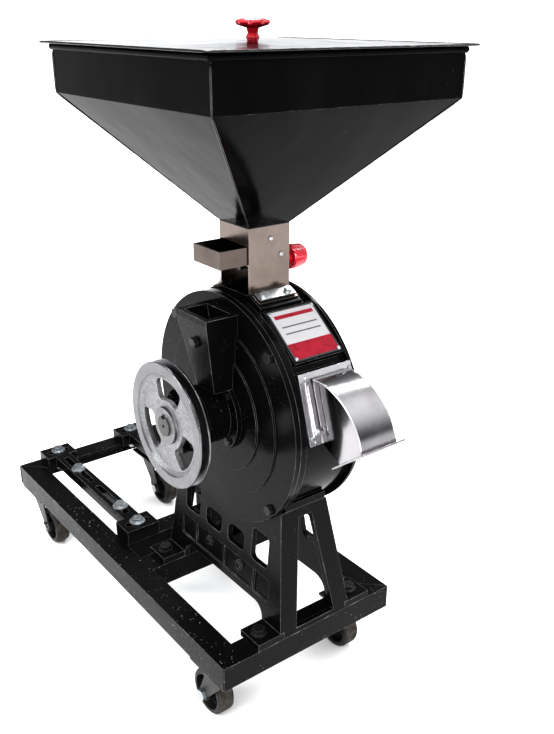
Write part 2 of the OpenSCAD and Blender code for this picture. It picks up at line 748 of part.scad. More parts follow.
// Swinging hammer that hangs straight down from its pin
module hammer(k) color("#77797b") on_axis()
    translate([pin_ring_r * cos(90 * k), 0, pin_ring_r * sin(90 * k)]) difference() {
        union() {
            rod_y(hammer_w / 2, hammer_y[0], hammer_y[1]);
            box([-hammer_w / 2, hammer_y[0], -hammer_len], [hammer_w / 2, hammer_y[1], 0]);
        }
        rod_y(pin_r + run_fit, -40, 20);
        box([-hammer_w, hammer_y[0] + 16, -hammer_len - cut], [hammer_w, hammer_y[1] - 16, -16]);
    }

module screen() color("#8a8d90") on_axis() difference() {
    rod_y(150, shell_y + 0.2, shell_end_y - 0.2);
    rod_y(147, -80, 80);
    for (k = [0:23], row = [0:3]) rotate([0, 15 * k + 7.5 * (row % 2), 0])
        translate([130, -33 + 22 * row, 0]) rotate([0, 90, 0]) cylinder(r = 3, h = 40);
}

// ------------------------------------------------------------------ spout

module spout_screw_places() {
    on_seat(spout_a) for (z = [-40, 40], y = [spout_y[0] + 7, spout_y[1] - 3.8])
        translate([spout_seat, y, z]) rotate([0, 90, 0]) children();
}

module spout_plate() color("#c9cac9") difference() {
    on_seat(spout_a) box([spout_seat + 0.1, spout_y[0], -spout_half],
        [spout_seat + 2, spout_y[1], spout_half]);
    on_seat(spout_a) box([150, -16, -32], [190, 36, 32]);
    spout_screw_places() translate([0, 0, -2]) cylinder(r = 2 + hole_extra, h = 10);
}

module spout_screws() color("#d4d6d7") {
    spout_screw_places() translate([0, 0, 2]) {
        cylinder(r1 = 3.4, r2 = 2.6, h = 2.4);
        translate([0, 0, -9]) cylinder(r = 2, h = 10);
    }
}

// Outline of the hood in X and Z about the mill axis; t shrinks it
function hood_mouth_out(t) = [hood_cx + (hood_r - t) * cos(hood_end),
    hood_cz + (hood_r - t) * sin(hood_end)];
hood_mouth_in = [219, -14];
hood_heel = [184.4, 2.4];

module hood_outline(t, grow) {
    steps = 16;
    mouth = hood_mouth_out(t);
    arc = [for (k = [0:steps]) let (a = hood_start + (hood_end - hood_start) * k / steps)
        [hood_cx + (hood_r - t) * cos(a), hood_cz + (hood_r - t) * sin(a)]];
    out = [cos(-52), sin(-52)];
    polygon(concat(arc, [mouth + grow * out, hood_mouth_in + [t, t] + grow * out,
        hood_heel + [0, t] - [grow, 0], arc[0] - [grow, 0]]));
}

module spout_hood() color("#d2d3d2") on_axis() {
    mouth_a = atan2(hood_mouth_out(0)[1] - hood_mouth_in[1], hood_mouth_out(0)[0] - hood_mouth_in[0]);
    mouth_len = norm(hood_mouth_out(0) - hood_mouth_in);
    difference() {
        slab_y(hood_y[0], hood_y[1]) hood_outline(0, 0);
        slab_y(hood_y[0] + hood_t, hood_y[1] - hood_t) hood_outline(hood_t, 20);
        rotate([0, -spout_a, 0]) box([100, -100, -100], [spout_seat + 2.1, 100, 100]);
    }
    translate([hood_mouth_in[0], 0, hood_mouth_in[1]]) rotate([0, -mouth_a, 0]) difference() {
        box([-lip_w, hood_y[0] - lip_w, -1], [mouth_len + lip_w, hood_y[1] + lip_w, 1]);
        box([hood_t, hood_y[0] + hood_t, -3], [mouth_len - hood_t, hood_y[1] - hood_t, 3]);
    }
}

// -------------------------------------------------------------- nameplate

module name_screw_places() {
    on_seat(name_a) for (z = [-38, 38], y = [name_y[0] + 6, name_y[1] - 6])
        translate([name_seat, y, z]) rotate([0, 90, 0]) children();
}

module nameplate() color("#e4e4e2") difference() {
    on_seat(name_a) box([name_seat + 0.1, name_y[0] + 2.5, -name_half + 3],
        [name_seat + 1.1, name_y[1] - 2.5, name_half - 3]);
    name_screw_places() translate([0, 0, -2]) cylinder(r = 1.5 + hole_extra, h = 6);
}

module nameplate_screws() color("#b9bbbc") name_screw_places() {
    translate([0, 0, 1.1]) cylinder(r1 = 3, r2 = 2, h = 1.4);
    translate([0, 0, -7]) cylinder(r = 1.5, h = 9);
}

// ------------------------------------------------------------ feed bracket

// Bolt places on the sloping feet of the bracket, local Z off the foot
module bracket_bolt_places() {
    on_axis() for (side = [0, 1]) mirror([side, 0, 0])
        for (y = [-brk_bolt_y, brk_bolt_y])
            translate([brk_a + foot_run / 2 + 1, y, brk_z0 - axis_z - foot_drop / 2 - 0.5])
                rotate([0, foot_tilt, 0]) children();
}

module bracket_foot() {
    translate([brk_a - brk_t, 0, brk_z0]) rotate([0, foot_tilt, 0])
        translate([0, -34, -brk_t]) cube([foot_run + 3, 68, brk_t]);
}

module feed_bracket() color("#bdbab6") difference() {
    translate([mill_x, 0, 0]) {
        for (side = [0, 1]) mirror([side, 0, 0]) {
            box([brk_a - brk_t, -brk_a, brk_z0 - brk_t], [brk_a, brk_a, brk_z1]);
            bracket_foot();
        }
        // strip across the front above the tray
        box([-brk_a + 1, -brk_a, tray_z + tray_h + 1], [brk_a - 1, -brk_a + brk_t, brk_z1]);
        // rear plate that carries the adjusting screw
        box([-brk_a + 1, brk_a - brk_t, brk_z0 + 4], [brk_a - 1, brk_a, brk_z1]);
        // ledges that the tray slides on
        for (side = [0, 1]) mirror([side, 0, 0])
            box([brk_a - brk_t - 4, -brk_a, tray_z - 2.2], [brk_a - 1, brk_a - 1, tray_z - 0.2]);
    }
    translate([mill_x, 0, screw_z]) rod_y(screw_r + run_fit, brk_a - brk_t - cut, brk_a + cut);
    bracket_bolt_places() translate([0, 0, -6]) cylinder(r = m6 + hole_extra, h = 12);
}

// Bolts through the feet, two on each, over a long washer strip
module bracket_bolts() color("#d4d6d7") on_axis() for (side = [0, 1]) mirror([side, 0, 0])
    translate([brk_a + foot_run / 2 + 1, 0, brk_z0 - axis_z - foot_drop / 2 - 0.5])
        rotate([0, foot_tilt, 0]) {
            translate([-8, -31, 0.6]) cube([16, 62, 2.5]);
            for (y = [-brk_bolt_y, brk_bolt_y]) translate([0, y, 3.1]) hex_bolt(m6, 12, 4.5);
        }

// --------------------------------------------------------------- feed tray

module feed_tray() color("#b4b3b0") translate([mill_x, 0, 0]) difference() {
    half = brk_a - brk_t - 0.4;
    union() {
        difference() {
            box([-half, tray_front, tray_z], [half, tray_back, tray_z + tray_h]);
            box([-half + 1.5, tray_front + 1.5, tray_z + 1.5], [half - 1.5, tray_back - 1.5, tray_z + 60]);
            box([-half + 1.5, tray_front + 1.5, tray_z - cut], [half - 1.5, -brk_a - 4, tray_z + 10]);
        }
        // lug below the floor that holds the screw's nut
        box([-11, -6, screw_z - 11], [11, 6, tray_z + 1]);
    }
    translate([0, 0, screw_z]) rod_y(screw_r + run_fit, -10, 10);
}

module feed_knob() color("#c01824") translate([mill_x, 0, screw_z]) difference() {
    union() {
        rod_y(9, brk_a + 1, 62);
        translate([0, 60, 0]) rotate([-90, 0, 0]) rotate_extrude()
            polygon([[0, 0], [17.5, 0], [18.5, 2], [18, 8], [16.5, 22], [15, 25], [0, 26]]);
    }
    for (k = [0:6]) rotate([0, 360 / 7 * k, 0]) translate([21.5, 0, 0]) rod_y(5, 58, 88);
    rod_y(screw_r + 0.05, brk_a, 70);
}

module feed_screw() color("#8d8f90") translate([mill_x, 0, screw_z]) {
    rod_y(screw_r, -28, 68);
    rod_y(9, brk_a - brk_t - 4.3, brk_a - brk_t - 0.3);
}

// ----------------------------------------------------------------- hopper

module hopper() color("#151515") translate([mill_x, 0, 0]) difference() {
    union() {
        box([-hop_a, -hop_a, band_z], [hop_a, hop_a, rim_z + 2]);
        square_frustum(neck_a + 1.5, hop_a, neck_z + 0.2, band_z + 0.01);
        box([-neck_a, -neck_a, neck_z - 18], [neck_a, neck_a, neck_z + 6]);
    }
    inner = hop_a - sheet_t;
    box([-inner, -inner, band_z + 0.1], [inner, inner, rim_z + 20]);
    square_frustum(neck_a - 1.2, inner, neck_z + 2, band_z + 0.2);
    box([-neck_a + 1.5, -neck_a + 1.5, neck_z - 30], [neck_a - 1.5, neck_a - 1.5, neck_z + 12]);
}

module hopper_rim() color("#151515") translate([mill_x, 0, rim_z + bead_r]) difference() {
    union() {
        for (k = [0:3]) rotate([0, 0, 90 * k]) translate([-hop_a, -hop_a, 0])
            rotate([0, 90, 0]) cylinder(r = bead_r, h = 2 * hop_a);
        for (sx = [-1, 1], sy = [-1, 1]) translate([sx * hop_a, sy * hop_a, 0]) sphere(r = bead_r);
    }
    box([-hop_a - 0.05, -hop_a - 0.05, -2 * bead_r], [hop_a + 0.05, hop_a + 0.05, -bead_r + 2.05]);
}

// -------------------------------------------------------------------- lid

module hopper_lid() color("#17181a") translate([mill_x, 0, lid_z]) difference() {
    union() {
        square_frustum(lid_a, 12, 0.8, lid_rise + 1.5);
        box([-lid_a, -lid_a, 0], [lid_a, lid_a, 0.82]);
        // skirt that keeps the lid in place inside the rim
        difference() {
            box([-hop_a + 8, -hop_a + 8, -9], [hop_a - 8, hop_a - 8, 1]);
            box([-hop_a + 9.5, -hop_a + 9.5, -10], [hop_a - 9.5, hop_a - 9.5, 2]);
        }
    }
    square_frustum(lid_a - 22, 10, -0.8, lid_rise);
    translate([0, 0, -5]) cylinder(r = m6 + 0.1, h = 20);
}

module lid_knob() color("#c01824") translate([mill_x, 0, lid_z + lid_rise + 1.6]) {
    difference() {
        rotate_extrude() polygon([[0, 0], [9, 0], [6.5, 5], [8, 11], [20, 14.5], [22.5, 17.5],
            [21.5, 20], [15, 22], [0, 22.5]]);
        for (k = [0:7]) rotate([0, 0, 45 * k]) translate([25.5, 0, 10]) cylinder(r = 5, h = 20);
    }
    translate([0, 0, -8]) cylinder(r = m6, h = 9);
}

// ------------------------------------------------------------------ output

base_frame();
pedestal();
pedestal_bolts();
motor_rail(rail_front_y);  // rail_front
motor_rail(rail_rear_y);  // rail_rear
rail_end_bolts();
motor_clamp_bolts();
caster_plates();
caster_bolts();
caster_fork(caster_spots[0]);  // caster_fork_1
caster_fork(caster_spots[1]);  // caster_fork_2
caster_fork(caster_spots[2]);  // caster_fork_3
caster_fork(caster_spots[3]);  // caster_fork_4
caster_wheel(caster_spots[0]);  // caster_wheel_1
caster_wheel(caster_spots[1]);  // caster_wheel_2
caster_wheel(caster_spots[2]);  // caster_wheel_3
caster_wheel(caster_spots[3]);  // caster_wheel_4
caster_axle(caster_spots[0]);  // caster_axle_1
caster_axle(caster_spots[1]);  // caster_axle_2
caster_axle(caster_spots[2]);  // caster_axle_3
caster_axle(caster_spots[3]);  // caster_axle_4
drum_shell();
drum_foot_bolts();
front_cover();
back_cover();
cover_bolts();
back_cover_bolts();
feed_chute();
chute_bolt();
bearing_housing();
bearing_cap();
cap_bolts();
front_bearing();
rear_bearing();
drive_shaft();
pulley();
pulley_key();
pulley_set_screw();
rotor_disc();
rotor_ring();
hammer_pins();
hammer(0);  // hammer_1
hammer(1);  // hammer_2
hammer(2);  // hammer_3
hammer(3);  // hammer_4
screen();
spout_plate();
spout_hood();
spout_screws();
nameplate();
nameplate_screws();
feed_bracket();
bracket_bolts();
feed_tray();
feed_knob();
feed_screw();
hopper();
hopper_rim();
hopper_lid();
lid_knob();
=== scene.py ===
import json
import math

import bpy
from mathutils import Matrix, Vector, noise


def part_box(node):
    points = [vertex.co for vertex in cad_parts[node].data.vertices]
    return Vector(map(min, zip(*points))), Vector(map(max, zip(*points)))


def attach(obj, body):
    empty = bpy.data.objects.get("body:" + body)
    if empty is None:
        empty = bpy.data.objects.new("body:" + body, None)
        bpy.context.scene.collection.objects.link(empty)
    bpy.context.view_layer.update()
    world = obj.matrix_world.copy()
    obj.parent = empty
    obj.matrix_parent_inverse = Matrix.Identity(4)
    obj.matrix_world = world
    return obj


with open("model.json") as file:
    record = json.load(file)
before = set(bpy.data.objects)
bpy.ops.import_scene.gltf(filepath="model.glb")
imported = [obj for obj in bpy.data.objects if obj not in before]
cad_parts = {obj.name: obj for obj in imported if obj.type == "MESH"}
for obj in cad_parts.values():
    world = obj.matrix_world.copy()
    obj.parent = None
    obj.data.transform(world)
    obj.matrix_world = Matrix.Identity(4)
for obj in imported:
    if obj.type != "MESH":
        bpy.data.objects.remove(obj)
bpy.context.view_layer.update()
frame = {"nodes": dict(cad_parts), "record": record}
nodes = frame["nodes"]
scene = bpy.context.scene
MM = 0.001

# ---------------------------------------------------------------- camera
# fitted to the photograph's frame, hopper, drum and pulley edges

camera = bpy.data.cameras.new("camera")
camera.sensor_width = 36
camera.lens = 41.6
camera.shift_y = 0.025
camera.clip_end = 100
camera_object = bpy.data.objects.new("camera", camera)
camera_object.location = (1.114, -0.6888, 1.0016)
camera_object.rotation_euler = (math.radians(66.41), math.radians(-0.14), math.radians(52.6))
scene.collection.objects.link(camera_object)
scene.camera = camera_object
scene.view_settings.view_transform = "Standard"
scene.view_settings.look = "High Contrast"

# ------------------------------------------------------- material helpers


def add(tree, kind, inputs=None, **settings):
    """Adds a shader node; inputs are sockets to link or values to set."""
    made = tree.nodes.new("ShaderNode" + kind)
    for key, value in settings.items():
        setattr(made, key, value)
    for key, value in (inputs or {}).items():
        if isinstance(value, bpy.types.NodeSocket):
            tree.links.new(value, made.inputs[key])
        else:
            made.inputs[key].default_value = value
    return made


def rgba(colour):
    """An opaque colour for a shader socket."""
    return (colour[0], colour[1], colour[2], 1.0)


class Paint:
    """A material under construction: its tree, its shader and its object coordinates."""

    def __init__(self, name, colour, rough, metal=0.0, spec=0.5, coat=0.0, coat_rough=0.1):
        self.material = bpy.data.materials.new(name)
        self.material.use_nodes = True
        self.tree = self.material.node_tree
        self.shader = self.tree.nodes["Principled BSDF"]
        self.set("Base Color", rgba(colour))
        self.set("Roughness", rough)
        self.set("Metallic", metal)
        self.set("Specular IOR Level", spec)
        self.set("Coat Weight", coat)
        self.set("Coat Roughness", coat_rough)
        self.place = self.add("TexCoord").outputs["Object"]
        self.normal = None

    def add(self, kind, inputs=None, **settings):
        """Adds a node to this material."""
        return add(self.tree, kind, inputs, **settings)

    def set(self, socket, value):
        """Links a socket to the shader's input, or sets its value."""
        if isinstance(value, bpy.types.NodeSocket):
            self.tree.links.new(value, self.shader.inputs[socket])
        else:
            self.shader.inputs[socket].default_value = value

    def stretched(self, scale):
        """Object coordinates with a scale for each axis."""
        return self.add("Mapping", {"Vector": self.place, "Scale": scale}).outputs[0]

    def noise(self, scale, detail=4.0, rough=0.6, where=None):
        """Fractal noise round 0.5."""
        inputs = {"Vector": where or self.place, "Scale": scale, "Detail": detail, "Roughness": rough}
        return self.add("TexNoise", inputs).outputs[0]

    def speckle(self, scale):
        """Distance to the nearest of many scattered points."""
        inputs = {"Vector": self.place, "Scale": scale}
        return self.add("TexVoronoi", inputs).outputs["Distance"]

    def ramp(self, value, low, high, to_low=0.0, to_high=1.0):
        """Carries low to to_low and high to to_high, and holds still outside them."""
        inputs = {"Value": value, "From Min": low, "From Max": high, "To Min": to_low,
                  "To Max": to_high}
        return self.add("MapRange", inputs).outputs[0]

    def math(self, operation, first, second=0.0):
        """One sum on two values."""
        return self.add("Math", {0: first, 1: second}, operation=operation).outputs[0]

    def mix(self, share, first, second):
        """Blends two colours: the first at share 0, the second at 1."""
        made = self.add("Mix", data_type="RGBA")
        for index, value in ((0, share), (6, first), (7, second)):
            if isinstance(value, bpy.types.NodeSocket):
                self.tree.links.new(value, made.inputs[index])
            else:
                made.inputs[index].default_value = value if index == 0 else rgba(value)
        return made.outputs[2]

    def edges(self, radius, start=0.985, full=0.75):
        """1 at an edge and 0 on a flat, from the rounded normal; also rounds the shading."""
        rounded = self.add("Bevel", {"Radius": radius}, samples=4)
        self.normal = rounded.outputs[0]
        flat = self.add("NewGeometry").outputs["Normal"]
        dot = self.add("VectorMath", {0: self.normal, 1: flat}, operation="DOT_PRODUCT")
        return self.ramp(dot.outputs["Value"], start, full)

    def follow_round(self, x, z):
        """Shades faces that lie round an axis along Y through x and z as one smooth curve."""
        moved = self.add("VectorMath", {0: self.place, 1: (x, 0, z)}, operation="SUBTRACT").outputs[0]
        flat = self.add("VectorMath", {0: moved, 1: (1, 0, 1)}, operation="MULTIPLY").outputs[0]
        radial = self.add("VectorMath", {0: flat}, operation="NORMALIZE").outputs[0]
        face = self.add("NewGeometry").outputs["Normal"]
        dot = self.add("VectorMath", {0: radial, 1: face}, operation="DOT_PRODUCT").outputs["Value"]
        share = self.ramp(self.math("ABSOLUTE", dot), 0.985, 0.992)
        sign = self.math("SIGN", dot)
        turned_out = self.add("VectorMath", {0: radial, "Scale": sign}, operation="SCALE").outputs[0]
        made = self.add("Mix", data_type="VECTOR")
        for index, value in ((0, share), (4, self.normal), (5, turned_out)):
            self.tree.links.new(value, made.inputs[index])
        self.normal = self.add("VectorMath", {0: made.outputs[1]}, operation="NORMALIZE").outputs[0]

    def bump(self, height, distance):
        """Raises the shading by a height, over a distance in metres."""
        inputs = {"Height": height, "Distance": distance, "Strength": 1.0}
        if self.normal is not None:
            inputs["Normal"] = self.normal
        self.normal = self.add("Bump", inputs).outputs[0]
        self.set("Normal", self.normal)

    def along(self, direction, origin=(0, 0, 0)):
        """Distance from origin along a direction, in metres."""
        moved = self.add("VectorMath", {0: self.place, 1: origin}, operation="SUBTRACT").outputs[0]
        return self.add("VectorMath", {0: moved, 1: direction}, operation="DOT_PRODUCT").outputs["Value"]

    def radius_from(self, x, z):
        """Distance from an axis along Y through x and z, in metres."""
        moved = self.add("VectorMath", {0: self.place, 1: (x, 0, z)}, operation="SUBTRACT").outputs[0]
        flat = self.add("VectorMath", {0: moved, 1: (1, 0, 1)}, operation="MULTIPLY").outputs[0]
        return self.add("VectorMath", {0: flat}, operation="LENGTH").outputs["Value"]


# the shaft's axis, which runs along Y
joints = {joint["name"]: joint for joint in frame["record"]["behaviour"]["joints"]}
AXIS_X, _, AXIS_Z = joints["rotor_spin"]["pos_m"]
# turning marks, in radians of a wave for each metre of radius
COVER_RINGS = 2600
RIM_RINGS = 9000


def black_paint(name, base, rough, grain, depth, chips, dust, spec=0.09, rings=False,
                edge=1.0, sheen=0.35, specks=0.15):
    """Black paint over iron: wear at the edges, chips to bare metal, a painted highlight along every edge,
    dust and an uneven film.
    """
    p = Paint(name, base, rough, spec=spec)
    edge_wear_and_highlight = p.edges(edge * MM)
    patches = p.noise(34, 6, 0.7)
    fine = p.noise(420, 3, 0.6)
    flakes = p.math("MULTIPLY", edge_wear_and_highlight, p.ramp(patches, 0.5, 0.62))
    spots = p.math("MULTIPLY", p.ramp(p.speckle(150), 0.15, 0.08), p.ramp(p.noise(9, 3), 0.44, 0.6))
    bare = p.math("MAXIMUM", p.math("MULTIPLY", flakes, chips), p.math("MULTIPLY", spots, specks))
    film = p.math("MULTIPLY", p.ramp(p.noise(7, 5, 0.65), 0.4, 0.75), dust)
    dusty = p.math("ADD", film, p.math("MULTIPLY", p.ramp(fine, 0.62, 0.72), dust))
    colour = p.mix(dusty, base, (0.13, 0.127, 0.122))
    # painted highlight: every edge lightened towards grey, by sheen
    colour = p.mix(p.math("MULTIPLY", edge_wear_and_highlight, sheen), colour, (0.3, 0.3, 0.305))
    colour = p.mix(bare, colour, (0.5, 0.49, 0.48))
    p.set("Base Color", colour)
    p.set("Roughness", p.ramp(p.math("ADD", p.noise(16, 4), p.math("MULTIPLY", fine, 0.3)),
                              0.35, 0.95, rough * 0.7, rough * 1.5))
    height = p.math("ADD", p.noise(grain, 5, 0.65), p.math("MULTIPLY", patches, 0.8))
    if rings:
        wave = p.math("SINE", p.math("MULTIPLY", p.radius_from(AXIS_X, AXIS_Z), COVER_RINGS))
        height = p.math("ADD", height, p.math("MULTIPLY", wave, 0.12))
    p.bump(height, depth * MM)
    return p.material


def sheet_gloss(name, base, rough, wave_depth, spec=0.04):
    """High gloss black on sheet metal that is never quite flat."""
    p = Paint(name, base, rough, spec=spec)
    edge_wear_and_highlight = p.edges(0.9 * MM)
    scuff = p.math("MULTIPLY", edge_wear_and_highlight, p.ramp(p.noise(60, 5, 0.7), 0.5, 0.64))
    streaks = p.noise(11, 5, 0.6, p.stretched((1, 1, 0.35)))
    film = p.ramp(streaks, 0.48, 0.85, 0.0, 0.018)
    dots = p.math("MULTIPLY", p.ramp(p.speckle(95), 0.07, 0.04), p.ramp(p.noise(6, 2), 0.5, 0.7))
    colour = p.mix(film, base, (0.2, 0.2, 0.2))
    colour = p.mix(p.math("MULTIPLY", dots, 0.3), colour, (0.3, 0.3, 0.3))
    # painted highlight: every edge lightened towards grey
    colour = p.mix(p.math("MULTIPLY", edge_wear_and_highlight, 0.22), colour, (0.35, 0.35, 0.35))
    p.set("Base Color", p.mix(p.math("MULTIPLY", scuff, 0.7), colour, (0.4, 0.4, 0.4)))
    p.set("Roughness", p.ramp(streaks, 0.35, 0.8, rough * 0.75, rough * 1.7))
    height = p.math("ADD", p.noise(5.5, 3, 0.5), p.math("MULTIPLY", p.noise(120, 3), 0.012))
    p.bump(height, wave_depth * MM)
    return p.material


def metal(name, base, rough, grain=(1, 1, 1), marks=0.15, scale=60, edge=0.5, tint=None, dirt=0.25,
          bend=None):
    """Bare metal with directional marks, stains and brighter edges; bend is a curve's axis."""
    p = Paint(name, base, rough, metal=1.0)
    edge_wear_and_highlight = p.edges(edge * MM)
    if bend:
        p.follow_round(*bend)
    lines = p.noise(scale, 6, 0.7, p.stretched(grain))
    cloud = p.noise(13, 4, 0.6)
    shade = p.mix(p.ramp(lines, 0.3, 0.75), tuple(c * (1 - marks) for c in base), base)
    stain = tint or tuple(c * 0.6 for c in base)
    shade = p.mix(p.ramp(cloud, 0.5, 0.8, 0.0, dirt), shade, stain)
    # edges lightened: partly rubbed bright metal, partly a painted highlight
    bright = tuple(min(1.0, c * 1.25 + 0.08) for c in base)
    p.set("Base Color", p.mix(p.math("MULTIPLY", edge_wear_and_highlight, 0.7), shade, bright))
    p.set("Roughness", p.ramp(p.math("ADD", lines, cloud), 0.6, 1.4, rough * 0.7, rough * 1.45))
    p.bump(lines, 0.06 * MM)
    return p.material


def plastic(name, base, rough):
    """Glossy moulding with a faint orange peel and lighter edges, partly rubbed and partly a painted
    highlight.
    """
    p = Paint(name, base, rough, spec=0.5, coat=0.3, coat_rough=0.12)
    edge_wear_and_highlight = p.edges(0.8 * MM)
    cloud = p.noise(45, 4)
    dark = tuple(c * 0.72 for c in base)
    light = tuple(min(1.0, c * 1.15 + 0.06) for c in base)
    shade = p.mix(p.ramp(cloud, 0.35, 0.7), dark, base)
    # lighter edges: partly rubbed, partly a painted highlight
    p.set("Base Color", p.mix(p.math("MULTIPLY", edge_wear_and_highlight, 0.5), shade, light))
    p.set("Roughness", p.ramp(p.noise(160, 3), 0.3, 0.7, rough * 0.75, rough * 1.3))
    p.bump(p.noise(260, 3), 0.04 * MM)
    return p.material


def turned_aluminium(name):
    """Aluminium casting: machined rim and hub, sand-cast web between them."""
    base = (0.185, 0.185, 0.191)
    p = Paint(name, base, 0.3, metal=1.0)
    edge_wear_and_highlight = p.edges(0.6 * MM)
    radius = p.radius_from(AXIS_X, AXIS_Z)
    inner = p.ramp(radius, 0.0275, 0.0295)
    outer = p.ramp(radius, 0.0755, 0.0735)
    cast = p.math("MULTIPLY", inner, outer)
    turning = p.math("SINE", p.math("MULTIPLY", radius, RIM_RINGS))
    pits = p.noise(300, 5, 0.75)
    cloud = p.noise(30, 5, 0.65)
    machined = p.mix(p.ramp(cloud, 0.35, 0.7), (0.135, 0.135, 0.139), base)
    sand = p.mix(p.ramp(pits, 0.35, 0.7), (0.16, 0.16, 0.163), (0.33, 0.33, 0.336))
    shade = p.mix(cast, machined, sand)
    grime = p.ramp(p.noise(18, 5, 0.7), 0.55, 0.8, 0.0, 0.3)
    shade = p.mix(grime, shade, (0.11, 0.107, 0.102))
    # edges lightened: partly rubbed bright metal, partly a painted highlight
    p.set("Base Color", p.mix(p.math("MULTIPLY", edge_wear_and_highlight, 0.7), shade, (0.75, 0.75, 0.76)))
    p.set("Roughness", p.ramp(cast, 0.0, 1.0, 0.27, 0.5))
    fine = p.math("MULTIPLY", turning, p.ramp(cast, 0.0, 1.0, 0.25, 0.0))
    rough_part = p.math("MULTIPLY", pits, p.ramp(cast, 0.0, 1.0, 0.25, 3.0))
    p.bump(p.math("ADD", fine, rough_part), 0.11 * MM)
    return p.material


def wheel_material(name, centre):
    """Dark moulded wheel whose tread shows wear and dust; its edges are lighter, partly rubbed and partly a
    painted highlight.
    """
    base = (0.009, 0.009, 0.009)
    p = Paint(name, base, 0.4, spec=0.2)
    edge_wear_and_highlight = p.edges(1.0 * MM)
    radius = p.radius_from(centre[0], centre[2])
    tread = p.ramp(radius, 0.0335, 0.0362)
    dust = p.ramp(p.noise(70, 5, 0.7), 0.35, 0.7)
    grit = p.noise(520, 3, 0.7)
    shade = p.mix(p.ramp(p.noise(25, 4), 0.4, 0.75, 0.0, 0.4), base, (0.05, 0.047, 0.044))
    soil = p.mix(dust, (0.035, 0.031, 0.028), (0.1, 0.09, 0.08))
    shade = p.mix(p.math("MULTIPLY", tread, p.ramp(dust, 0.0, 1.0, 0.45, 0.95)), shade, soil)
    # lighter edges: partly rubbed, partly a painted highlight
    p.set("Base Color", p.mix(p.math("MULTIPLY", edge_wear_and_highlight, 0.35), shade, (0.2, 0.19, 0.18)))
    p.set("Roughness", p.ramp(tread, 0.0, 1.0, 0.38, 0.85))
    p.bump(p.math("ADD", grit, p.noise(60, 4)), 0.25 * MM)
    return p.material


def printed_plate(name, angle, seat, y_range, half):
    """Blank printed plate: pale field, red strip, two rules, red band below, dark border."""
    p = Paint(name, (0.5, 0.5, 0.5), 0.34, spec=0.2)
    p.edges(0.4 * MM)
    tangent = (-math.sin(angle), 0.0, math.cos(angle))
    centre = (AXIS_X + seat * math.cos(angle), 0.0, AXIS_Z + seat * math.sin(angle))
    up = p.along(tangent, centre)
    across = p.along((0, 1, 0), (0, (y_range[0] + y_range[1]) / 2, 0))
    side = p.math("ABSOLUTE", across)
    wide = (y_range[1] - y_range[0]) / 2 - 3.5 * MM
    tall = half - 4 * MM

    def within(value, low, high, soft=0.25 * MM):
        rising = p.ramp(value, low - soft, low + soft)
        falling = p.ramp(value, high + soft, high - soft)
        return p.math("MULTIPLY", rising, falling)

    border = 1.5 * MM
    field = p.math("MULTIPLY", within(side, -1, wide - border), within(up, border - tall, tall - border))
    band = within(up, -1, -14 * MM)
    strip = within(up, 27 * MM, 33 * MM)
    strip = p.math("MULTIPLY", strip, within(side, -1, wide - 6 * MM))
    rules = p.math("MAXIMUM", within(up, 12 * MM, 14 * MM), within(up, 1 * MM, 3 * MM))
    rules = p.math("MULTIPLY", rules, within(side, -1, wide - 9 * MM))
    age = p.noise(60, 5, 0.7)
    pale = p.mix(p.ramp(age, 0.45, 0.8, 0.0, 0.35), (0.34, 0.335, 0.345), (0.25, 0.24, 0.24))
    red = p.mix(p.ramp(age, 0.4, 0.75), (0.19, 0.006, 0.018), (0.26, 0.009, 0.026))
    shade = p.mix(strip, pale, red)
    shade = p.mix(rules, shade, (0.07, 0.07, 0.075))
    shade = p.mix(band, shade, red)
    shade = p.mix(field, (0.045, 0.045, 0.048), shade)
    p.set("Base Color", shade)
    p.set("Roughness", p.ramp(age, 0.3, 0.8, 0.2, 0.5))
    p.bump(p.noise(90, 4), 0.05 * MM)
    return p.material


# -------------------------------------------------------------- materials

BLACK = (0.0045, 0.0045, 0.005)
